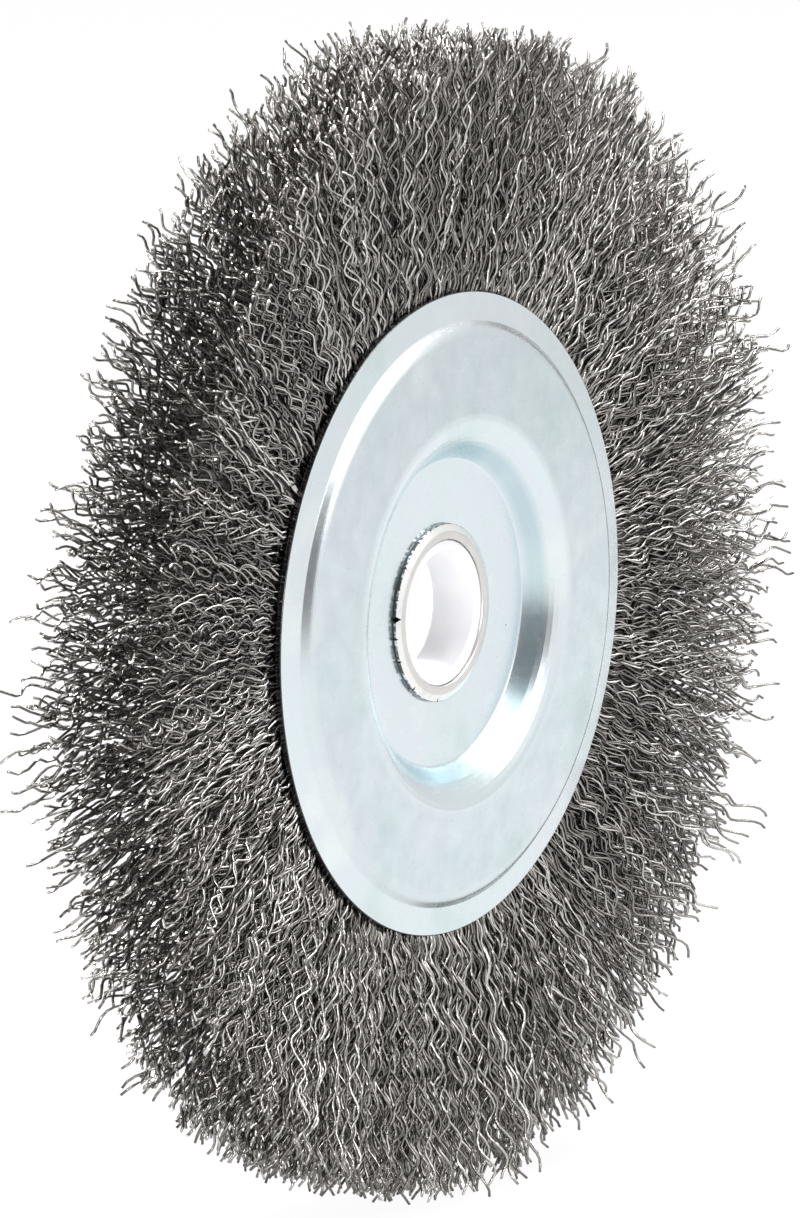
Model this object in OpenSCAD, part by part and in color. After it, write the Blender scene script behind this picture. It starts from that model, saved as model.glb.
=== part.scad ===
// Crimped wire wheel brush: two pressed discs clamp a ring of crimped wire that is folded round a hoop.
// A core tube is spun out over the discs and holds a reducing bush. The wheel turns about the Y axis,
// with the origin at its centre and the face that is seen first towards -Y.

/* [Wheel] */
// Diameter over the longest wire tips
wheel_d = 152.4; // [146:0.2:160]
// Width of the wire face at the tips
face_w = 19; // [16:0.5:22]
// How far the shortest tips stop inside the diameter
tip_fall = 5; // [2:0.5:7]

/* [Discs] */
// Thickness of the pressed sheet
sheet_t = 0.9; // [0.7:0.05:1.1]
// Outer diameter of the discs
disc_d = 83.8; // [82:0.2:88]
// Width of the clamping rim
rim_w = 3.7; // [3:0.1:4.5]
// How far the clamping rim rises towards its inner edge
rim_rise = 0.55; // [0.3:0.05:0.9]
// Clear gap between the discs at the edge of the rim
rim_gap = 8.2; // [7:0.1:10]
// Width of the rounded step between the rim and the raised ring
step_w = 1.3; // [1.1:0.1:1.6]
// Height of the rounded step
step_h = 1.2; // [1:0.1:1.4]
// Radius on the crown of the rounded step
step_r = 2.2; // [1.8:0.1:2.4]
// How far the raised ring falls from the dish to the rounded step
ring_fall = 0.4; // [0.2:0.05:0.6]
// Diameter at which the raised ring turns down into the dish
ring_in_d = 47.2; // [46:0.2:49]
// Radius between the raised ring and the slope of the dish
dish_r = 5.3; // [4.5:0.1:5.8]
// Diameter of the flat at the centre
flat_d = 40.2; // [39:0.2:41]
// How far the flat rises from the hub to its edge
flat_rise = 0.45; // [0.3:0.05:0.6]
// Clear gap between the discs at the hub
hub_gap = 3.5; // [3:0.1:4.2]
// Radius of the tight bends at the flat and at the rim
bend_r = 0.5; // [0.3:0.05:0.8]
// Radius on the sheared edges of the sheet
edge_r = 0.18; // [0.1:0.01:0.25]

/* [Core tube] */
// Inner diameter of the core tube
core_bore = 19.15; // [18.5:0.05:20]
// Wall of the core tube
core_wall = 0.95; // [0.8:0.05:1.2]
// Diameter of the shoulder that keeps the discs apart
shoulder_d = 26; // [24:0.5:32]
// How far the spun lip reaches past the tube
lip_reach = 1.1; // [0.8:0.05:1.3]
// Height of the spun lip above the flat of the disc
lip_h = 0.95; // [0.8:0.05:1.1]
// Thickness of the spun lip at its edge
lip_edge = 0.3; // [0.2:0.05:0.4]
// Gap under the edge of the spun lip
lip_lift = 0.2; // [0.1:0.05:0.3]
// Length of the part of the lip that is pressed down on the disc
lip_seat = 0.4; // [0.3:0.05:0.6]
// Radius on the edges of the lip's flat crown
crown_r = 0.3; // [0.2:0.05:0.4]
// Width of a common crack at the lip's edge
crack_w = 0.5; // [0.3:0.1:0.8]
// Length of the teeth that are torn in the lip's edge
tooth_l = 0.25; // [0.15:0.05:0.4]

/* [Bush] */
// Bore of the reducing bush
bush_bore = 15.9; // [14:0.1:16.5]
// How far the bush stops below the crown of the lip
bush_sunk = 0.3; // [0.2:0.05:0.6]
// Chamfer on the ends of the bush
bush_chamfer = 0.3; // [0.1:0.05:0.4]

/* [Wire] */
// Diameter of the hoop on its centre line
hoop_d = 60; // [58.6:0.2:62]
// Thickness of the hoop
hoop_t = 3.2; // [2.4:0.1:3.6]
// Thickness of the wire that is folded round the hoop
fold_t = 1.5; // [1.2:0.1:1.8]
// Number of tufts round the wheel
tufts = 92; // [60:1:93]
// Length of one wave of the crimp
crimp_pitch = 8.4; // [8:0.1:10]
// Height of the crimp to each side
crimp_amp = 0.65; // [0.3:0.05:0.7]
// Height of the tufts over the hollows between them
tuft_h = 1.3; // [0.6:0.1:1.6]
// Depth of the hollows between the tips, below the shortest tip
tip_notch = 2.6; // [1:0.1:4]
// How far the tufts lean to either side at their tips
tuft_lean = 1.2; // [0.4:0.1:1.6]

/* [Fits] */
// Clearance round the core tube in the discs
hub_fit = 0.04; // [0.02:0.01:0.1]
// Clearance of the bush in the core tube
bush_fit = 0.05; // [0.02:0.01:0.1]
// Clearance between the wire and the discs
wire_fit = 0.2; // [0.1:0.05:0.3]
// Clearance between the wire and the hoop
hoop_fit = 0.1; // [0.05:0.05:0.2]

/* [Hidden] */

zinc = [0.78, 0.83, 0.86];
steel = [0.62, 0.63, 0.65];
plastic = [0.94, 0.94, 0.93];
wire = [0.36, 0.34, 0.33];

arc_steps = 6;
round_fn = 180;

core_ir = core_bore / 2;
core_or = core_ir + core_wall;
flat_h = hub_gap / 2 + sheet_t;
crown_h = flat_h + lip_h;
lip_or = core_or + lip_reach;
hub_r = core_or + hub_fit;

// A disc's outer face from the hub to the rim, as radius, height over the middle plane, and bend radius
disc_r = disc_d / 2;
rim_h = rim_gap / 2 + sheet_t;
rim_in_r = disc_r - rim_w;
ring_r = rim_in_r - step_w;
ring_h = rim_h + rim_rise + step_h;
disc_face = [
    [hub_r, flat_h, 0],
    [flat_d / 2, flat_h + flat_rise, bend_r],
    [ring_in_d / 2, ring_h + ring_fall, dish_r],
    [ring_r, ring_h, step_r],
    [rim_in_r, rim_h + rim_rise, bend_r],
    [disc_r, rim_h, 0]
];

// The wire ring
wheel_r = wheel_d / 2;
hoop_r = hoop_d / 2;
cols = 2 * tufts;
tip_h = face_w / 2;
notch_r = wheel_r - tip_fall - tip_notch;
root_out = 1.0;
root_r = disc_r + root_out;
root_h = rim_h - sheet_t / 3;
flare = 0.7;
last_bend = round((wheel_r - root_r) / (crimp_pitch / 2));

// One swing between -1 and 1 for each tuft. A small turn from tuft to tuft keeps neighbours nearly in step,
// as the crimps of the wire are, and a large one makes them unlike each other.
function swings(turn) = [for (tuft = [0:tufts - 1]) sin(turn * tuft)];
front_tips = tip_fall / 2 * [for (swing = swings(137.5)) 1 + swing];
middle_tips = tip_fall / 2 * [for (swing = swings(211)) 1 + swing];
back_tips = tip_fall / 2 * [for (swing = swings(74)) 1 + swing];
front_crimps = swings(43);
back_crimps = swings(61);
leans = tuft_lean * swings(52);

function unit(v) = v / norm(v);
function flat_point(p) = [p[0], p[1]];
function inward(a, b) = let (d = unit(b - a)) [d[1], -d[0]];

// Arc that rounds corner b between a and c
function corner_arc(a, b, c, r) =
    let (
        u = unit(a - b),
        v = unit(c - b),
        half = acos(u * v) / 2,
        reach = min(r / tan(half), norm(a - b) / 2.05, norm(c - b) / 2.05),
        radius = reach * tan(half),
        centre = b + unit(u + v) * radius / sin(half),
        start = b + u * reach - centre,
        end = b + v * reach - centre,
        first = atan2(start[1], start[0]),
        sweep = (atan2(end[1], end[0]) - first + 540) % 360 - 180
    )
    [for (i = [0:arc_steps])
        let (angle = first + sweep * i / arc_steps)
        centre + radius * [cos(angle), sin(angle)]
    ];

// Closed outline of [x, y, corner radius] points with its corners rounded
function rounded(points) =
    let (n = len(points))
    [for (i = [0:n - 1])
        let (
            a = flat_point(points[(i + n - 1) % n]),
            b = flat_point(points[i]),
            c = flat_point(points[(i + 1) % n])
        )
        each points[i][2] > 0 ? corner_arc(a, b, c, points[i][2]) : [b]
    ];

// Point i of a face, moved square to the sheet by depth
function sunk_point(face, i, depth) =
    let (
        n = len(face),
        b = flat_point(face[i]),
        before = i == 0 ? inward(b, flat_point(face[1])) : inward(flat_point(face[i - 1]), b),
        after = i == n - 1 ? before : inward(b, flat_point(face[i + 1]))
    )
    b + (before + after) * depth / (1 + before * after);

// Bend radius on the far side of the sheet at point i of a face
function sunk_radius(face, i, depth) =
    let (turn = cross(flat_point(face[i] - face[i - 1]), flat_point(face[i + 1] - face[i])))
    face[i][2] + (turn > 0 ? depth : -depth);

// Closed section of a sheet that has the given outer face
function sheet_section(face, t) =
    let (n = len(face), last = n - 1)
    [
        [face[0][0], face[0][1], edge_r],
        for (i = [1:last - 1]) face[i],
        [face[last][0], face[last][1], edge_r],
        concat(sunk_point(face, last, t), edge_r),
        for (i = [last - 1:-1:1]) concat(sunk_point(face, i, t), sunk_radius(face, i, t)),
        concat(sunk_point(face, 0, t), edge_r)
    ];

// Turns a section about the wheel's axis, with its height towards the front
module turned() {
    rotate([90, 0, 0])
        rotate_extrude($fn = round_fn)
            children();
}

module disc() {
    color(zinc)
        turned()
            polygon(rounded(sheet_section(disc_face, sheet_t)));
}

module front_flange() {
    disc();
}

module back_flange() {
    rotate([0, 0, 180])
        disc();
}

// Height of the flat at radius r
function flat_at(r) = flat_h + flat_rise * (r - hub_r) / (flat_d / 2 - hub_r);

// Upper half of the core tube's section, from its bore over the lip and down to the shoulder
seat_r = core_or + lip_seat;
lip_half = [
    [core_ir, crown_h, crown_r],
    [core_or, crown_h, crown_r],
    [lip_or, flat_at(lip_or) + lip_lift + lip_edge, lip_edge / 3],
    [lip_or - lip_edge / 4, flat_at(lip_or) + lip_lift, lip_edge / 3],
    [seat_r, flat_at(seat_r), 0],
    [hub_r, flat_h, 0],
    [core_or, flat_h, 0],
    [core_or, hub_gap / 2, 0],
    [shoulder_d / 2, hub_gap / 2, edge_r]
];
mirrored_half = [for (i = [len(lip_half) - 1:-1:0]) [lip_half[i][0], -lip_half[i][1], lip_half[i][2]]];

// Cracks in the spun lip, each as its angle from +X towards +Z, its length, and its width over the common one
front_cracks = [
    [27, 0.45, 0.8],
    [176, 0.9, 2],
    [189, 0.4, 0.8],
    [205, 0.35, 1],
    [231, 0.55, 1.2],
    [263, 0.7, 0.9],
    for (tooth = [0:9]) [98 + 7.3 * tooth, tooth_l * (1 + 0.4 * sin(137.5 * tooth)), 0.7]
];
back_cracks = [[35, 0.6, 1], [118, 0.4, 1], [204, 0.8, 1.4], [262, 0.35, 1], [325, 0.5, 1]];

module crack(angle, length, width, side) {
    rotate([0, -angle, 0])
        translate([lip_or, side * (flat_h + lip_h / 2), 0])
            rotate([90, 0, 0])
                linear_extrude(height = lip_h, center = true)
                    polygon([[-length, 0], [edge_r, -crack_w * width / 2], [edge_r, crack_w * width / 2]]);
}

module core_tube() {
    color(zinc)
        difference() {
            turned()
                polygon(rounded(concat(lip_half, mirrored_half)));
            for (c = front_cracks) crack(c[0], c[1], c[2], -1);
            for (c = back_cracks) crack(c[0], c[1], c[2], 1);
        }
}

module arbor_bush() {
    half = crown_h - bush_sunk;
    inner = bush_bore / 2;
    outer = core_ir - bush_fit;
    color(plastic)
        turned()
            polygon([
                [inner, bush_chamfer - half],
                [inner, half - bush_chamfer],
                [inner + bush_chamfer, half],
                [outer - bush_chamfer / 2, half],
                [outer, half - bush_chamfer / 2],
                [outer, bush_chamfer / 2 - half],
                [outer - bush_chamfer / 2, -half],
                [inner + bush_chamfer, -half]
            ]);
}

module hoop(grow) {
    turned()
        translate([hoop_r, 0])
            circle(d = hoop_t + 2 * grow, $fn = 48);
}

module hoop_ring() {
    color(steel)
        hoop(0);
}

// Half of the wire's section between the discs, from the fold round the hoop out to the rim
wire_depth = sheet_t + wire_fit;
fold_r = hoop_r - hoop_t / 2 - hoop_fit - fold_t;
fold_h = hoop_t / 2 + fold_t;
clamped_half = [
    [fold_r + fold_t / 2, fold_h],
    [hoop_r, ring_h - wire_depth],
    sunk_point(disc_face, 3, wire_depth),
    sunk_point(disc_face, 4, wire_depth),
    sunk_point(disc_face, 5, wire_depth)
];

function turn_over(points) = [for (i = [len(points) - 1:-1:0]) [points[i][0], -points[i][1]]];
function is_crest(col) = col % 2 == 0;
function zigzag(bend, crimp) = crimp_amp * (bend % 2 == 0 ? crimp : -crimp);

// Points down one flank of the wire ring, as radius, height and sideways shift, with one at each bend of the
// crimp. An even column runs along the crest of a tuft, and an odd one along the hollow beside it.
function flank_point(col, bend, side) =
    let (
        tuft = floor(col / 2),
        s = bend / last_bend,
        crimp = side > 0 ? front_crimps[tuft] : back_crimps[tuft],
        fall = side > 0 ? front_tips[tuft] : back_tips[tuft],
        end_r = is_crest(col) ? wheel_r - fall : notch_r,
        relief = (is_crest(col) ? tuft_h / 2 : -tuft_h / 2) * min(1, bend)
    )
    [
        root_r + (end_r - root_r) * s,
        side * (root_h + (tip_h - tuft_h / 2 - root_h) * pow(s, flare) + relief),
        zigzag(bend, crimp) * min(1, bend) + leans[tuft] * side * s * s
    ];

// Points across the tread, where a middle row of tips stands between the two outer ones
function tread_point(col, h) =
    let (tuft = floor(col / 2), is_tip = h == 0 && !is_crest(col))
    [is_tip ? wheel_r - middle_tips[tuft] : notch_r, h, is_tip ? leans[tuft] : 0];

// Section of the wire ring from the fold outwards, across the tread and back to the fold
function section(col) = concat(
    [[fold_r, 0, 0]],
    [for (p = clamped_half) concat(p, 0)],
    [for (bend = [0:last_bend]) flank_point(col, bend, 1)],
    [for (h = [tip_h / 2, 0, -tip_h / 2]) tread_point(col, h)],
    [for (bend = [last_bend:-1:0]) flank_point(col, bend, -1)],
    [for (p = turn_over(clamped_half)) concat(p, 0)]
);

function placed(p, angle) = let (a = angle + p[2] / p[0] * 180 / PI) [p[0] * cos(a), p[0] * sin(a), p[1]];

module wire_mass() {
    sections = [for (col = [0:cols - 1]) [for (p = section(col)) placed(p, 360 * col / cols)]];
    rows = len(sections[0]);
    points = [for (s = sections) each s];
    faces = [
        for (col = [0:cols - 1], row = [0:rows - 1])
            let (
                next_col = (col + 1) % cols,
                next_row = (row + 1) % rows,
                a = col * rows + row,
                b = col * rows + next_row,
                c = next_col * rows + next_row,
                d = next_col * rows + row
            )
            each is_crest(col) ? [[a, b, d], [b, c, d]] : [[a, b, c], [a, c, d]]
    ];
    polyhedron(points = points, faces = faces, convexity = 10);
}

module wire_fill() {
    color(wire)
        difference() {
            rotate([90, 0, 0]) wire_mass();
            hoop(hoop_fit);
        }
}

front_flange();
back_flange();
core_tube();
arbor_bush();
hoop_ring();
wire_fill();
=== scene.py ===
# Crimped wire wheel brush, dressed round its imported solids. It turns about Y and shows its front to -Y.
import math

import bmesh
import bpy
import numpy as np
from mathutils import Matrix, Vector


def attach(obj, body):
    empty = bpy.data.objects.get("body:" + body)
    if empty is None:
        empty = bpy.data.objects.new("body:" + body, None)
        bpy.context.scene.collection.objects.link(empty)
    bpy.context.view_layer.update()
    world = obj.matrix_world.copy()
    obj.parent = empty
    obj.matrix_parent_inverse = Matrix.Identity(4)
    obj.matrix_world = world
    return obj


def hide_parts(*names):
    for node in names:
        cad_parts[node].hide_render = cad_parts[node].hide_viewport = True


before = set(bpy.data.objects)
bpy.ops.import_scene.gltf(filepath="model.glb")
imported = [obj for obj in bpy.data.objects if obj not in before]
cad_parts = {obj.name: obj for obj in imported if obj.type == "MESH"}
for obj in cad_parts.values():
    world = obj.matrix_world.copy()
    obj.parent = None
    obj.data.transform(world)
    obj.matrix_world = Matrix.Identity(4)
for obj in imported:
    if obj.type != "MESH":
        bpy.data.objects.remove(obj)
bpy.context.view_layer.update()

# Pressed discs
# Both are stamped from 0.9 mm steel sheet and barrel plated with zinc, which leaves a pale blue film with
# faint clouds and fine rub marks. The drawn slope has painted shade with a teal cast, for the dark room that
# it reflects, and the raised ring is darker and mottled. The outer edge has painted shade from the wires
# that it faces, and one small pit is in the centre flat.
ZINC_TINTS = [
    (0.32, (0.71, 0.81, 0.82)),
    (0.44, (0.78, 0.87, 0.90)),
    (0.56, (0.80, 0.86, 0.91)),
    (0.68, (0.86, 0.93, 0.94)),
]
ZINC_CLOUD_SCALE = 60
ZINC_WAVY_SCALE = 260
ZINC_GRAIN_SCALE = 900
ZINC_ROUGHNESS = (0.21, 0.31)
RUB_GRAIN = 0.12
RUB_STRENGTH = 0.35
RUB_DEPTH = 0.00006
# Painted shade with a teal cast on the drawn slope, for the dark room that it reflects
SLOPE_PAINTED_SHADE = (0.74, 0.84, 0.86)
SLOPE_SHADE_AT = 0.0213
SLOPE_SHADE_HALF = 0.0014
SLOPE_SHADE_FULL = SLOPE_SHADE_HALF / 3
# The raised ring is made darker, in mottled patches
RAISED_TINT = (0.82, 0.84, 0.85)
RAISED_AT = 0.0312
RAISED_HALF = 0.0062
RAISED_FULL = RAISED_HALF * 0.75
RAISED_MOTTLE = (0.1, 0.7)
PIT_AT = (0.01628, -0.0031, -0.00407)
PIT_FROM = 0.00026
PIT_TO = 0.00012
PIT_DARK = (0.22, 0.24, 0.25, 1)
# Painted shade on the discs' outer edge, which faces the dark wires
EDGE_SHADE_FROM = 0.04172
EDGE_SHADE_TO = 0.04180
EDGE_PAINTED_SHADE = (0.11, 0.11, 0.115, 1)


def put(tree, kind, sockets=(), **settings):
    """Adds a node with its settings and inputs, which are values or other nodes' sockets"""
    made = tree.nodes.new(kind)
    for name, value in settings.items():
        setattr(made, name, value)
    for name, value in dict(sockets).items():
        if isinstance(value, bpy.types.NodeSocket):
            tree.links.new(value, made.inputs[name])
        else:
            made.inputs[name].default_value = value
    return made.outputs[0]


def maths(tree, operation, *values, clamp=False):
    """Maths on numbers or other nodes' sockets"""
    return put(tree, "ShaderNodeMath", dict(enumerate(values)), operation=operation, use_clamp=clamp)


def vector_maths(tree, operation, *values):
    """Maths on vectors or other nodes' sockets that gives a vector"""
    return put(tree, "ShaderNodeVectorMath", dict(enumerate(values)), operation=operation)


def vector_measure(tree, operation, *values):
    """Maths on vectors or other nodes' sockets that gives a number"""
    return vector_maths(tree, operation, *values).node.outputs["Value"]


def ramp(tree, factor, stops):
    """Colour ramp with (place, colour) stops"""
    made = tree.nodes.new("ShaderNodeValToRGB")
    tree.links.new(factor, made.inputs["Fac"])
    elements = made.color_ramp.elements
    while len(elements) < len(stops):
        elements.new(0.5)
    for element, (place, colour) in zip(elements, stops):
        element.position = place
        element.color = (*colour, 1)
    return made.outputs["Color"]


def spread(tree, value, low, high):
    """Maps a 0 to 1 value to the range from low to high"""
    return put(tree, "ShaderNodeMapRange", {"Value": value, "To Min": low, "To Max": high})


def between(tree, value, start, end):
    """0 at the start, 1 at the end and past it"""
    return put(tree, "ShaderNodeMapRange", {"Value": value, "From Min": start, "From Max": end})


def noise(tree, where, scale, detail=3.0, roughness=0.5):
    """Soft noise with scale waves to the metre"""
    return put(
        tree,
        "ShaderNodeTexNoise",
        {"Vector": where, "Scale": scale, "Detail": detail, "Roughness": roughness},
    )


def radius_of(tree, place):
    """Distance from the wheel's axis"""
    return vector_measure(tree, "LENGTH", vector_maths(tree, "MULTIPLY", place, (1, 0, 1)))


def off_circle(tree, radius, circle):
    """How far a radius is from that of a circle, on either side of it"""
    return maths(tree, "ABSOLUTE", maths(tree, "SUBTRACT", radius, circle))


def round_the_wheel(tree, place):
    """Direction in which the wheel turns at a place"""
    return vector_maths(tree, "NORMALIZE", vector_maths(tree, "CROSS_PRODUCT", place, (0, 1, 0)))


def mixed(tree, share, first, second):
    """Colour that goes from the first to the second as the share goes from 0 to 1"""
    made = tree.nodes.new("ShaderNodeMix")
    made.data_type = "RGBA"
    tree.links.new(share, made.inputs["Factor"])
    for name, value in (("A", first), ("B", second)):
        socket = next(s for s in made.inputs if s.name == name and s.type == "RGBA")
        if isinstance(value, bpy.types.NodeSocket):
            tree.links.new(value, socket)
        else:
            socket.default_value = value
    return next(s for s in made.outputs if s.type == "RGBA")


def finish_of(name, metallic):
    """New material with its tree, shader and Object coordinates"""
    material = bpy.data.materials.new(name)
    material.use_nodes = True
    tree = material.node_tree
    shader = tree.nodes["Principled BSDF"]
    shader.inputs["Metallic"].default_value = metallic
    place = tree.nodes.new("ShaderNodeTexCoord").outputs["Object"]
    return material, tree, shader, place


def bump(tree, shader, height, strength, distance, normal=None):
    """Bump on the shader, over the mesh's own normal or the one that is given"""
    sockets = {"Height": height, "Strength": strength, "Distance": distance}
    if normal is not None:
        sockets["Normal"] = normal
    tree.links.new(put(tree, "ShaderNodeBump", sockets), shader.inputs["Normal"])


def dress(part, material):
    """Gives a CAD node or a new piece its one material"""
    part.data.materials.clear()
    part.data.materials.append(material)


zinc, zinc_tree, zinc_shader, zinc_place = finish_of("zinc_plate", metallic=1.0)
zinc_radius = radius_of(zinc_tree, zinc_place)
clouds = noise(zinc_tree, zinc_place, ZINC_CLOUD_SCALE, detail=4.0, roughness=0.55)
film = ramp(zinc_tree, clouds, ZINC_TINTS)
mottle = noise(zinc_tree, zinc_place, ZINC_WAVY_SCALE, detail=4.0, roughness=0.6)
# Darker, mottled patches on the raised ring
raised_darkening = maths(
    zinc_tree,
    "MULTIPLY",
    between(zinc_tree, off_circle(zinc_tree, zinc_radius, RAISED_AT), RAISED_HALF, RAISED_FULL),
    between(zinc_tree, mottle, *RAISED_MOTTLE),
)
film = mixed(zinc_tree, raised_darkening, film, vector_maths(zinc_tree, "MULTIPLY", film, RAISED_TINT))
# Painted shade: the drawn slope is darkened and turned teal
painted_slope_shade = between(zinc_tree, off_circle(zinc_tree, zinc_radius, SLOPE_SHADE_AT), SLOPE_SHADE_HALF, SLOPE_SHADE_FULL)
film = mixed(zinc_tree, painted_slope_shade, film, vector_maths(zinc_tree, "MULTIPLY", film, SLOPE_PAINTED_SHADE))
off_pit = vector_measure(zinc_tree, "DISTANCE", zinc_place, PIT_AT)
film = mixed(zinc_tree, between(zinc_tree, off_pit, PIT_FROM, PIT_TO), film, PIT_DARK)
# Painted shade: the outer edge is made dark
painted_rim_shade = between(zinc_tree, zinc_radius, EDGE_SHADE_FROM, EDGE_SHADE_TO)
film = mixed(zinc_tree, painted_rim_shade, film, EDGE_PAINTED_SHADE)
zinc_tree.links.new(film, zinc_shader.inputs["Base Color"])

grain = noise(zinc_tree, zinc_place, ZINC_GRAIN_SCALE, detail=4.0, roughness=0.6)
zinc_tree.links.new(spread(zinc_tree, grain, *ZINC_ROUGHNESS), zinc_shader.inputs["Roughness"])
waviness = noise(zinc_tree, zinc_place, ZINC_WAVY_SCALE, detail=2.0)
rubbed = maths(zinc_tree, "MULTIPLY_ADD", grain, RUB_GRAIN, waviness)

# Along one seam of the turned form the smooth normals lean round the wheel, and that share is taken off.
zinc_normal = zinc_tree.nodes.new("ShaderNodeTexCoord").outputs["Normal"]
aside = vector_maths(zinc_tree, "PROJECT", zinc_normal, round_the_wheel(zinc_tree, zinc_place))
turned_normal = vector_maths(zinc_tree, "SUBTRACT", zinc_normal, aside)
bump(zinc_tree, zinc_shader, rubbed, RUB_STRENGTH, RUB_DEPTH, turned_normal)
for disc in ("front_flange", "back_flange"):
    dress(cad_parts[disc], zinc)

# Core tube
# A short steel tube holds the discs together. Its ends are spun out over the flats into a lip, dull at its
# throat, with a torn edge and cracks. Its slope is painted bright as a highlight, and painted shade darkens
# patches of the torn edge, where it stands off the flat, and the walls of the cracks.
LIP_DULL = (0.74, 0.71, 0.68)
# Painted highlight: the colour of the lip's slope
LIP_PAINTED_HIGHLIGHT = (0.96, 0.96, 0.95)
LIP_SMEAR = (0.78, 0.77, 0.75)
LIP_THROAT = [(0.35, LIP_DULL), (0.65, LIP_SMEAR)]
LIP_SLOPE_HIGHLIGHT = [(0.30, LIP_SMEAR), (0.45, LIP_PAINTED_HIGHLIGHT)]
LIP_HIGHLIGHT_FROM = 0.01058
LIP_HIGHLIGHT_TO = 0.01075
LIP_ROUGHNESS = (0.22, 0.42)
SMEAR_SCALE = 260
# Painted shade in patches along the lip's torn edge, where it stands off the flat
TORN_EDGE_SHADE = (0.09, 0.09, 0.09, 1)
TORN_SHADE_FROM = 0.01149
TORN_SHADE_TO = 0.01157
TORN_SHADE_SCALE = 1500
TORN_SHADE_PATCHES = (0.62, 0.50)
# Painted shade on crack walls, the faces that turn round the wheel
CRACK_SHADE_FACING = (0.4, 0.6)
TOOL_MARK_SCALE = 1400
TOOL_MARK_STRENGTH = 0.2
TOOL_MARK_DEPTH = 0.00005

tube_steel, tube_tree, tube_shader, tube_place = finish_of("spun_steel", metallic=1.0)
tube_radius = radius_of(tube_tree, tube_place)
smears = noise(tube_tree, tube_place, SMEAR_SCALE, detail=3.0, roughness=0.6)
# Painted highlight: the lip's slope takes a far brighter colour than its throat
lip_and_highlight = mixed(
    tube_tree,
    between(tube_tree, tube_radius, LIP_HIGHLIGHT_FROM, LIP_HIGHLIGHT_TO),
    ramp(tube_tree, smears, LIP_THROAT),
    ramp(tube_tree, smears, LIP_SLOPE_HIGHLIGHT),
)
# Painted shade in patches on the lip's torn edge
torn_edge_shade = maths(
    tube_tree,
    "MULTIPLY",
    between(tube_tree, tube_radius, TORN_SHADE_FROM, TORN_SHADE_TO),
    between(tube_tree, noise(tube_tree, tube_place, TORN_SHADE_SCALE, detail=2.0), *TORN_SHADE_PATCHES),
)
# Painted shade on the walls of the cracks, joined with that on the torn edge
tube_normal = tube_tree.nodes.new("ShaderNodeTexCoord").outputs["Normal"]
facing = vector_measure(tube_tree, "DOT_PRODUCT", round_the_wheel(tube_tree, tube_place), tube_normal)
painted_crack_shade = between(tube_tree, maths(tube_tree, "ABSOLUTE", facing), *CRACK_SHADE_FACING)
painted_lip_shade = maths(tube_tree, "MAXIMUM", torn_edge_shade, painted_crack_shade)
tube_tree.links.new(mixed(tube_tree, painted_lip_shade, lip_and_highlight, TORN_EDGE_SHADE), tube_shader.inputs["Base Color"])
tube_tree.links.new(spread(tube_tree, smears, *LIP_ROUGHNESS), tube_shader.inputs["Roughness"])
tool_marks = noise(tube_tree, tube_place, TOOL_MARK_SCALE, detail=2.0)
bump(tube_tree, tube_shader, tool_marks, TOOL_MARK_STRENGTH, TOOL_MARK_DEPTH)
dress(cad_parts["core_tube"], tube_steel)

# Reducing bush
# A white moulded sleeve that is pushed into the core tube, so that the wheel runs on a thinner arbor. Its
# skin has the fine grain of the mould.
BUSH_WHITES = [(0.4, (0.62, 0.62, 0.65)), (0.6, (0.66, 0.66, 0.675))]
BUSH_CLOUD_SCALE = 150
BUSH_ROUGHNESS = 0.38
BUSH_SKIN_SCALE = 900
BUSH_SKIN_STRENGTH = 0.1
BUSH_SKIN_DEPTH = 0.00005

bush_nylon, bush_tree, bush_shader, bush_place = finish_of("moulded_nylon", metallic=0.0)
bush_white = ramp(bush_tree, noise(bush_tree, bush_place, BUSH_CLOUD_SCALE), BUSH_WHITES)
bush_tree.links.new(bush_white, bush_shader.inputs["Base Color"])
bush_shader.inputs["Roughness"].default_value = BUSH_ROUGHNESS
bush_skin = noise(bush_tree, bush_place, BUSH_SKIN_SCALE, detail=2.0)
bump(bush_tree, bush_shader, bush_skin, BUSH_SKIN_STRENGTH, BUSH_SKIN_DEPTH)
dress(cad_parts["arbor_bush"], bush_nylon)

# Hoop
# The plain steel ring that the wires are folded round, between the discs. It keeps the dull scale that its
# rod was rolled with.
HOOP_STEEL = [(0.3, (0.30, 0.29, 0.28)), (0.7, (0.45, 0.44, 0.43))]
HOOP_CLOUD_SCALE = 300
HOOP_ROUGHNESS = (0.35, 0.55)

hoop_steel, hoop_tree, hoop_shader, hoop_place = finish_of("hoop_steel", metallic=1.0)
hoop_clouds = noise(hoop_tree, hoop_place, HOOP_CLOUD_SCALE)
hoop_tree.links.new(ramp(hoop_tree, hoop_clouds, HOOP_STEEL), hoop_shader.inputs["Base Color"])
hoop_tree.links.new(spread(hoop_tree, hoop_clouds, *HOOP_ROUGHNESS), hoop_shader.inputs["Roughness"])
dress(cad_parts["hoop_ring"], hoop_steel)

# Packed heart of the wire ring
# Deep between the wires the ring is imported solid. One turned ring stands for it, from the fold round the
# hoop to well short of the tips, with streaks where the imported wires run. It is coloured far darker than
# the wires, as painted shade deep among them.
HEART_HALF = [
    (0.0269, 0.0000),
    (0.0277, 0.0028),
    (0.0300, 0.0046),
    (0.0355, 0.0058),
    (0.0382, 0.0042),
    (0.0420, 0.0032),
    (0.0450, 0.0036),
    (0.0520, 0.0041),
    (0.0560, 0.0043),
    (0.0590, 0.0038),
    (0.0608, 0.0024),
    (0.0614, 0.0000),
]
HEART_STEPS = 240
HEART_SEED = 3
UNEVEN_FROM = 0.044
UNEVEN_BY = 0.0004
UNEVEN_AT = 0.005
CALMER_OUTWARDS = 6
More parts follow.
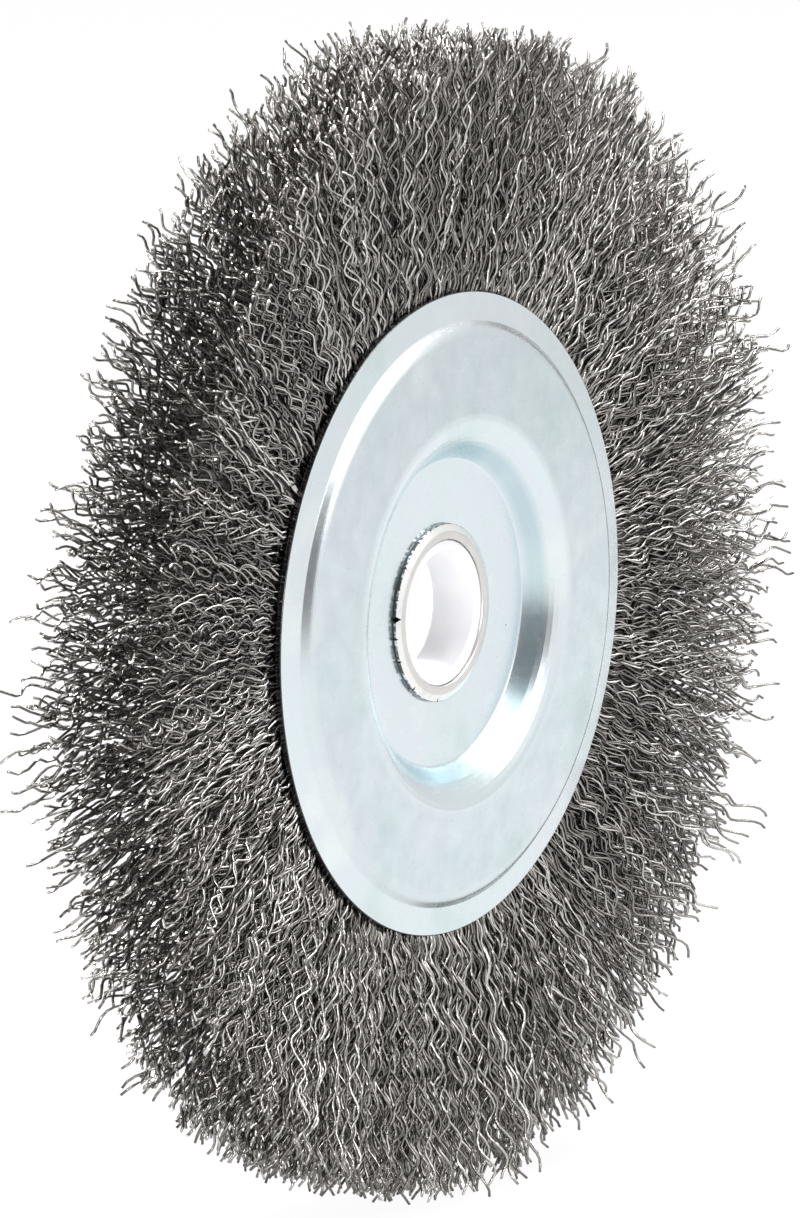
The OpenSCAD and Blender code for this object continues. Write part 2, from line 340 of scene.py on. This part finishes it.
# Painted shade: the heart's colours are far darker than the wires' own
HEART_WIRE_SHADE = [(0.40, (0.028, 0.027, 0.026)), (0.60, (0.26, 0.25, 0.24))]
HEART_ROUGHNESS = 0.6
STREAKS_ROUND = 165
STREAKS_OUT = 260
STREAK_STRENGTH = 0.8
STREAK_DEPTH = 0.0004

shape = bmesh.new()
outline = [shape.verts.new((r, -h, 0)) for r, h in HEART_HALF]
outline += [shape.verts.new((r, h, 0)) for r, h in reversed(HEART_HALF[1:-1])]
loop = [shape.edges.new((outline[i - 1], outline[i])) for i in range(len(outline))]
bmesh.ops.spin(
    shape,
    geom=outline + loop,
    cent=(0, 0, 0),
    axis=(0, 1, 0),
    angle=2 * math.pi,
    steps=HEART_STEPS,
    use_merge=True,
    use_duplicate=False,
)
bmesh.ops.recalc_face_normals(shape, faces=shape.faces)
heart_random = np.random.default_rng(HEART_SEED)
for vert in shape.verts:
    if math.hypot(vert.co.x, vert.co.z) > UNEVEN_FROM:
        push = 1 + UNEVEN_BY * heart_random.uniform(-1, 1) / UNEVEN_AT
        vert.co.y *= push
        vert.co.x *= 1 + (push - 1) / CALMER_OUTWARDS
        vert.co.z *= 1 + (push - 1) / CALMER_OUTWARDS
heart_mesh = bpy.data.meshes.new("wire_heart")
shape.to_mesh(heart_mesh)
shape.free()
heart = bpy.data.objects.new("wire_heart", heart_mesh)
bpy.context.collection.objects.link(heart)

heart_wire_shade, heart_tree, heart_shader, heart_place = finish_of("packed_wire_shade", metallic=0.6)
heart_axes = put(heart_tree, "ShaderNodeSeparateXYZ", {0: heart_place}).node.outputs
heart_angle = maths(heart_tree, "ARCTAN2", heart_axes["Z"], heart_axes["X"])
streak_place = put(
    heart_tree,
    "ShaderNodeCombineXYZ",
    {
        "X": maths(heart_tree, "MULTIPLY", heart_angle, STREAKS_ROUND),
        "Y": maths(heart_tree, "MULTIPLY", heart_axes["Y"], STREAKS_OUT),
        "Z": maths(heart_tree, "MULTIPLY", radius_of(heart_tree, heart_place), STREAKS_OUT),
    },
)
streaks = noise(heart_tree, streak_place, 1.0, detail=3.0, roughness=0.6)
# Painted shade: the heart is coloured far darker than the wires
heart_tree.links.new(ramp(heart_tree, streaks, HEART_WIRE_SHADE), heart_shader.inputs["Base Color"])
heart_shader.inputs["Roughness"].default_value = HEART_ROUGHNESS
bump(heart_tree, heart_shader, streaks, STREAK_STRENGTH, STREAK_DEPTH)
dress(heart, heart_wire_shade)
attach(heart, "root")
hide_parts("wire_fill")

# Crimped wires
# Cut lengths of crimped steel wire are folded round the hoop and clamped by the discs. They spread to the
# full width of the face and end in ragged tips. Wires on the two flanks show over their whole length, and
# those between them only near the tread.

# A wire has three sides and is 0.30 mm thick across them, which is 1.5 times the radius of its corners. It
# is made 1 long and then bent, in the direction that it has just before and after each point.
WIRE_R = 0.00020
WIRE_LENGTH = 1.0
JUST_AHEAD = 0.01

# The wires leave the discs at the rim and widen towards the tips, which are lower at the flanks.
RIM_R = 0.0410
RIM_H = 0.0039
TIP_R = 0.0762
TIP_BACK = 0.0007
TIP_CROWN = 0.0013
TIP_FLARE = 0.0045
FLARE_POWER = 0.75
PAST_TIP = 1.2

# The brush has worn and parted unevenly. Each place is an angle round the wheel with its reach, in degrees,
# and with how much longer the tips are there.
TIPS_UNEVEN = [
    (150, 24, -0.0026),
    (181, 12, 0.0034),
    (112, 14, -0.0016),
    (27, 8, 0.0018),
    (315, 16, -0.0014),
]

# One crimp, its swing sideways and outwards, and how it grows once the wire has come free of the discs
WAVE = 0.0056
WAVE_SIDE = 0.00038
WAVE_OUT = 0.00043
FREE_AFTER = 0.0035
GROWS_BY = 0.25

# Neighbouring wires lie in locks that share their waves and lean on each other at the tips. A spread is that
# of whole locks and then that of the wires in one.
LOCKS = 170
LOCK_SEED = 11
LOCK_UNEVEN = 0.38
LOCK_BLUR = 0.3
PHASE_BLUR = 0.5
TWIST_BLUR = 0.3
GATHER_MOST = 0.5
GATHER_POWER = 4
TIP_SPREAD = (0.0005 * 0.7, 0.0005)
SIDE_SPREAD = (0.12, 0.15)
OUT_SPREAD = (0.2, 0.15)
WAVE_SPREAD = (0.04, 0.04)
LEAN_SPREAD = (0.0008, 0.0006)
LEAN_POWER = 2
SPLAY_SPREAD = (0.0006, 0.0012)
SPLAY_POWER = 2.2
SPLAY_FULL = 1.5

# Long bends that each wire has of its own, and the strays that stick out of the locks
START_UNEVEN = 0.0004
DRIFT = (0.0001, 0.0007)
DRIFT_LENGTH = (0.012, 0.026)
SWAY = (0.0001, 0.0006)
SWAY_LENGTH = (0.010, 0.020)
STRAY_SHARE = 0.3
STRAY_SPLAY = 0.0062
STRAY_POWER = 1.6
STRAY_FURTHER = 0.0007

# Counts, straight lengths in a wire, radius at the hidden end, and depth in the face, which is 1 at its own
# flank and, for the tread, goes from -1 at the back to 1 at the front
FLANK_COUNTS = {"front": 630, "back": 470}
FLANK_BENDS = 42
FLANK_START = 0.0406
FLANK_DEPTHS = (0.80, 1.0)
UNDER_COUNT = 620
UNDER_BENDS = 30
UNDER_START = 0.0445
UNDER_DEPTHS = (0.5, 0.82)
TREAD_COUNT = 600
TREAD_BENDS = 17
TREAD_START = 0.0590
TREAD_DEPTHS = (-0.62, 0.62)

WIRE_TONES = [
    (0.0, (0.18, 0.169, 0.160)),
    (0.5, (0.34, 0.322, 0.304)),
    (0.78, (0.58, 0.553, 0.526)),
    (1.0, (0.88, 0.86, 0.83)),
]
WIRE_ROUGHNESS = (0.12, 0.28)
WIRE_SMEAR_SCALE = 1200

wire_steel, wire_tree, wire_shader, wire_place = finish_of("crimped_wire", metallic=1.0)
wire_tone = wire_tree.nodes.new("ShaderNodeAttribute")
wire_tone.attribute_name = "tone"
wire_colour = ramp(wire_tree, wire_tone.outputs["Fac"], WIRE_TONES)
wire_tree.links.new(wire_colour, wire_shader.inputs["Base Color"])
wire_smears = noise(wire_tree, wire_place, WIRE_SMEAR_SCALE, detail=2.0)
wire_tree.links.new(spread(wire_tree, wire_smears, *WIRE_ROUGHNESS), wire_shader.inputs["Roughness"])


def straight_wires(name, count, bends):
    """count straight wires in one mesh, each centred on the origin along Z and cut into bends lengths"""
    rod = bmesh.new()
    bmesh.ops.create_cone(
        rod, cap_ends=True, segments=3, radius1=WIRE_R, radius2=WIRE_R, depth=WIRE_LENGTH
    )
    along = [e for e in rod.edges if abs(e.verts[0].co.z - e.verts[1].co.z) > WIRE_LENGTH / 2]
    bmesh.ops.subdivide_edges(rod, edges=along, cuts=bends - 1)
    for face in rod.faces:
        face.smooth = len(face.verts) == 4
    one = bpy.data.meshes.new(name + "_one")
    rod.to_mesh(one)
    rod.free()
    maker = bpy.data.objects.new(name + "_maker", one)
    bpy.context.collection.objects.link(maker)
    copies = maker.modifiers.new("copies", "ARRAY")
    copies.count = count
    copies.use_relative_offset = False
    mesh = bpy.data.meshes.new_from_object(maker.evaluated_get(bpy.context.evaluated_depsgraph_get()))
    mesh.name = name
    bpy.data.objects.remove(maker)
    bpy.data.meshes.remove(one)
    return mesh


def path(t, w):
    """Points on the wires w at t from root (0) to tip (1), as X, Y and Z"""
    r = w["start"] + (w["end"] - w["start"]) * t
    s = np.clip((r - RIM_R) / (TIP_R - RIM_R), 0, PAST_TIP)
    high = w["layer"] * (RIM_H + TIP_FLARE * s**FLARE_POWER)
    freed = np.clip((r - RIM_R) / FREE_AFTER, 0, 1)
    turns = 2 * np.pi * (r - RIM_R) / w["length"] + w["phase"]
    grown = freed * (1 + GROWS_BY * s)
    drift = w["drift"] * freed * np.sin(2 * np.pi * (r - RIM_R) / w["drift_length"] + w["drift_phase"])
    lean = w["lean"] * s**LEAN_POWER
    u = w["wave_side"] * grown * np.sin(turns) + drift + lean + w["gather"] * s**GATHER_POWER
    sway = w["sway"] * (freed * np.sin(2 * np.pi * (r - RIM_R) / w["sway_length"] + w["sway_phase"]))
    splay = w["splay"] * s**SPLAY_POWER
    high = high + w["wave_out"] * grown * np.sin(turns + w["twist"]) + sway + splay
    angle = w["angle"] + u / r
    return np.stack([r * np.cos(angle), -high, r * np.sin(angle)], axis=-1)


lock_random = np.random.default_rng(LOCK_SEED)
lock_off = lock_random.uniform(-LOCK_UNEVEN, LOCK_UNEVEN, LOCKS)
lock_angle = 2 * np.pi * (np.arange(LOCKS) + lock_off) / LOCKS
lock_phase = lock_random.uniform(0, 2 * np.pi, LOCKS)
lock_twist = lock_random.uniform(0, 2 * np.pi, LOCKS)


def lay_wires(name, count, bends, start, depths, seed):
    """One piece of crimped wires. The order of the random draws gives each wire its shape"""
    random = np.random.default_rng(seed)
    mesh = straight_wires(name, count, bends)
    rest = np.empty(len(mesh.vertices) * 3)
    mesh.vertices.foreach_get("co", rest)
    rest = rest.reshape(count, -1, 3)

    def each(low, high):
        """A number for each wire"""
        return random.uniform(low, high, (count, 1))

    def shared(spread_of_lock, spread_of_wire):
        """A number for each wire that is near that of the others in its lock"""
        of_lock = random.normal(0, spread_of_lock, LOCKS)[lock]
        return (of_lock + random.normal(0, spread_of_wire, count))[:, None]

    angle = 2 * np.pi * (np.arange(count) + random.uniform(0, 1, count)) / count
    lock = ((angle / (2 * np.pi) * LOCKS + random.normal(0, LOCK_BLUR, count)).astype(int)) % LOCKS
    to_lock = (lock_angle[lock] - angle + np.pi) % (2 * np.pi) - np.pi
    stray = random.uniform(0, 1, count) < STRAY_SHARE
    held = np.where(stray, 0, random.uniform(0, GATHER_MOST, count))
    splay = shared(*SPLAY_SPREAD)[:, 0]
    splay = splay + np.where(stray, STRAY_SPLAY * random.uniform(0, 1, count) ** STRAY_POWER, 0)
    further = np.where(stray, random.uniform(0, STRAY_FURTHER, count), 0)
    uneven = 0
    for place, reach, change in TIPS_UNEVEN:
        off = (np.degrees(angle) - place + 180) % 360 - 180
        uneven = uneven + change * np.exp(-((off / reach) ** 2))
    layer = random.uniform(*depths, count)
    wires = {
        "angle": angle[:, None],
        "layer": layer[:, None],
        "start": each(start, start + START_UNEVEN),
        "end": (TIP_R - TIP_BACK - TIP_CROWN * layer**2 + uneven + further)[:, None]
        + shared(*TIP_SPREAD),
        "wave_side": WAVE_SIDE * (1 + shared(*SIDE_SPREAD)),
        "wave_out": WAVE_OUT * (1 + shared(*OUT_SPREAD)),
        "length": WAVE * (1 + shared(*WAVE_SPREAD)),
        "phase": (lock_phase[lock] + random.normal(0, PHASE_BLUR, count))[:, None],
        "twist": (lock_twist[lock] + random.normal(0, TWIST_BLUR, count))[:, None],
        "drift": each(*DRIFT),
        "drift_length": each(*DRIFT_LENGTH),
        "drift_phase": each(0, 2 * np.pi),
        "sway": each(*SWAY),
        "sway_length": each(*SWAY_LENGTH),
        "sway_phase": each(0, 2 * np.pi),
        "lean": shared(*LEAN_SPREAD),
        "gather": (to_lock * TIP_R * held)[:, None],
        "splay": (splay * np.clip(layer * SPLAY_FULL, -1, 1))[:, None],
    }
    t = rest[:, :, 2] + WIRE_LENGTH / 2
    centre = path(t, wires)
    ahead = path(t + JUST_AHEAD, wires) - path(t - JUST_AHEAD, wires)
    ahead /= np.linalg.norm(ahead, axis=-1, keepdims=True)
    across = np.cross(ahead, (0.0, 1.0, 0.0))
    across /= np.linalg.norm(across, axis=-1, keepdims=True)
    over = np.cross(ahead, across)
    bent = centre + rest[:, :, :1] * across + rest[:, :, 1:2] * over
    mesh.vertices.foreach_set("co", bent.ravel())
    mesh.update()
    tone = mesh.attributes.new("tone", "FLOAT", "POINT")
    tone.data.foreach_set("value", np.repeat(random.uniform(0, 1, count), rest.shape[1]))
    piece = bpy.data.objects.new(name, mesh)
    bpy.context.collection.objects.link(piece)
    dress(piece, wire_steel)
    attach(piece, "root")


for side, towards in (("front", 1), ("back", -1)):
    flank = sorted(depth * towards for depth in FLANK_DEPTHS)
    under = sorted(depth * towards for depth in UNDER_DEPTHS)
    for part in (1, 2):
        seed = 10 * part + towards
        lay_wires(f"wires_{side}_{part}", FLANK_COUNTS[side], FLANK_BENDS, FLANK_START, flank, seed)
    lay_wires(f"wires_{side}_under", UNDER_COUNT, UNDER_BENDS, UNDER_START, under, 50 + towards)
for part in (1, 2, 3):
    lay_wires(f"wires_tread_{part}", TREAD_COUNT, TREAD_BENDS, TREAD_START, TREAD_DEPTHS, 70 + part)

# Studio
# A plain white floor that keeps the wheel's soft shadow, a pale room that the plating reflects, with its dark
# parts towards the camera's side, and soft lamps.
WHITE = (1, 1, 1, 1)
FLOOR_Z = -0.0768
FLOOR_HALF = 6.0
FLOOR_WHITE = (0.86, 0.86, 0.86, 1)

# How far the camera and the metal see the floor as plain white paper, beyond the light that falls on it
FLOOR_LIFT = 0.95
FLOOR_GLOSS = 0.85

# Metal sees a floor that dims from the near to the far distance, each given with its brightness, and that
# takes on the brightness of the room between two further distances.
FLOOR_NEAR = (0.30, 0.80)
FLOOR_FAR = (0.80, 0.68)
FLOOR_ROOM = (0.55, 2.2)

# The room's brightness by bearing in degrees: 0 is straight in front of the disc and 90 is to its right
ROOM_ROUND = [
    (-180, 0.75),
    (-110, 0.95),
    (-75, 0.85),
    (-54, 0.20),
    (-18, 0.16),
    (-6, 0.60),
    (6, 0.92),
    (28, 0.90),
    (45, 0.84),
    (75, 0.76),
    (86, 0.76),
    (95, 0.42),
    (106, 0.90),
    (128, 1.0),
    (160, 0.90),
    (180, 0.75),
]

ground = bmesh.new()
bmesh.ops.create_grid(ground, x_segments=1, y_segments=1, size=FLOOR_HALF)
bmesh.ops.translate(ground, verts=ground.verts, vec=(0, 0, FLOOR_Z))
floor_mesh = bpy.data.meshes.new("floor")
ground.to_mesh(floor_mesh)
ground.free()
floor = bpy.data.objects.new("floor", floor_mesh)
bpy.context.collection.objects.link(floor)


def room_level(tree, way):
    """Brightness of the room in the bearing of a direction"""
    parts = put(tree, "ShaderNodeSeparateXYZ", {0: way}).node.outputs
    to_front = maths(tree, "MULTIPLY", parts["Y"], -1.0)
    bearing = maths(tree, "ARCTAN2", parts["X"], to_front)
    turned = between(tree, bearing, -math.pi, math.pi)
    return ramp(tree, turned, [((place + 180) / 360, (level,) * 3) for place, level in ROOM_ROUND])


paper = bpy.data.materials.new("floor_paper")
paper.use_nodes = True
paper_tree = paper.node_tree
paper_tree.nodes.clear()
rays = paper_tree.nodes.new("ShaderNodeLightPath").outputs
off_metal = maths(paper_tree, "ADD", rays["Is Glossy Ray"], rays["Is Transmission Ray"])
gloss_lift = maths(paper_tree, "MULTIPLY", off_metal, FLOOR_GLOSS)
straight_lift = maths(paper_tree, "MULTIPLY", rays["Is Camera Ray"], FLOOR_LIFT)
lift = maths(paper_tree, "ADD", gloss_lift, straight_lift, clamp=True)

place_on_floor = paper_tree.nodes.new("ShaderNodeNewGeometry").outputs["Position"]
away = vector_measure(paper_tree, "LENGTH", place_on_floor)
far_level = put(
    paper_tree,
    "ShaderNodeMapRange",
    {
        "Value": away,
        "From Min": FLOOR_NEAR[0],
        "From Max": FLOOR_FAR[0],
        "To Min": FLOOR_NEAR[1],
        "To Max": FLOOR_FAR[1],
    },
)
into_room = between(paper_tree, away, *FLOOR_ROOM)
reflected = mixed(paper_tree, into_room, far_level, room_level(paper_tree, place_on_floor))
lit_level = maths(paper_tree, "MAXIMUM", reflected, rays["Is Camera Ray"])
paper_mix = put(
    paper_tree,
    "ShaderNodeMixShader",
    {
        0: lift,
        1: put(paper_tree, "ShaderNodeBsdfDiffuse", {"Color": FLOOR_WHITE}),
        2: put(paper_tree, "ShaderNodeEmission", {"Color": WHITE, "Strength": lit_level}),
    },
)
paper_tree.links.new(paper_mix, paper_tree.nodes.new("ShaderNodeOutputMaterial").inputs["Surface"])
dress(floor, paper)

room = bpy.data.worlds.new("room")
bpy.context.scene.world = room
room.use_nodes = True
room_tree = room.node_tree
room_tree.nodes.clear()
walls = room_level(room_tree, room_tree.nodes.new("ShaderNodeTexCoord").outputs["Generated"])
room_light = put(room_tree, "ShaderNodeBackground", {"Color": walls, "Strength": 1.0})
room_white = put(room_tree, "ShaderNodeBackground", {"Color": WHITE, "Strength": 1.0})
seen_straight = room_tree.nodes.new("ShaderNodeLightPath").outputs["Is Camera Ray"]
room_mix = put(room_tree, "ShaderNodeMixShader", {0: seen_straight, 1: room_light, 2: room_white})
room_tree.links.new(room_mix, room_tree.nodes.new("ShaderNodeOutputWorld").inputs["Surface"])


def lamp(name, bearing, height, distance, width, length, watts):
    """Area lamp that looks at the wheel, with its bearing, as the room's, and its height in degrees"""
    light = bpy.data.lights.new(name, "AREA")
    light.shape = "RECTANGLE"
    light.size = width
    light.size_y = length
    light.energy = watts
    a, e = math.radians(bearing), math.radians(height)
    outwards = Vector((math.sin(a) * math.cos(e), -math.cos(a) * math.cos(e), math.sin(e)))
    holder = bpy.data.objects.new(name, light)
    holder.location = outwards * distance
    holder.rotation_mode = "QUATERNION"
    holder.rotation_quaternion = outwards.to_track_quat("Z", "Y")
    bpy.context.collection.objects.link(holder)


lamp("softbox", 14, 36, 1.2, 1.0, 0.85, 4.1)
lamp("high_lamp", 55, 66, 1.1, 0.45, 0.45, 8.5)
lamp("side_lamp", 92, 50, 1.1, 0.35, 0.35, 8.0)
lamp("near_lamp", -66, 12, 1.1, 0.4, 0.4, 2.5)
lamp("top_lamp", 0, 82, 1.1, 0.25, 0.25, 1.2)
lamp("left_lamp", -82, 8, 1.1, 0.25, 0.25, 5.0)
lamp("high_left_lamp", -95, 50, 1.1, 0.25, 0.25, 2.2)
lamp("back_lamp", 135, 35, 1.1, 0.25, 0.25, 4.0)

# Camera
# It stands to the left of the wheel and a little above it, far enough away for a long lens, and aims a little
# beside the wheel's centre.
VIEW_BEARING = math.radians(58.27)
VIEW_HEIGHT = math.radians(10.0)
VIEW_DISTANCE = 1.166
LENS = 266.0
AIM_RIGHT = -0.002785
AIM_UP = 0.000194

to_camera = Vector(
    (
        -math.sin(VIEW_BEARING) * math.cos(VIEW_HEIGHT),
        -math.cos(VIEW_BEARING) * math.cos(VIEW_HEIGHT),
        math.sin(VIEW_HEIGHT),
    )
)
rightwards = Vector((math.cos(VIEW_BEARING), -math.sin(VIEW_BEARING), 0))
upwards = to_camera.cross(rightwards)
camera = bpy.data.objects.new("camera", bpy.data.cameras.new("camera"))
camera.data.lens = LENS
camera.data.clip_start = 0.1
camera.data.clip_end = 30
camera.location = rightwards * AIM_RIGHT + upwards * AIM_UP + to_camera * VIEW_DISTANCE
camera.rotation_mode = "QUATERNION"
camera.rotation_quaternion = to_camera.to_track_quat("Z", "Y")
bpy.context.collection.objects.link(camera)
bpy.context.scene.camera = camera
bpy.context.scene.view_settings.view_transform = "Standard"
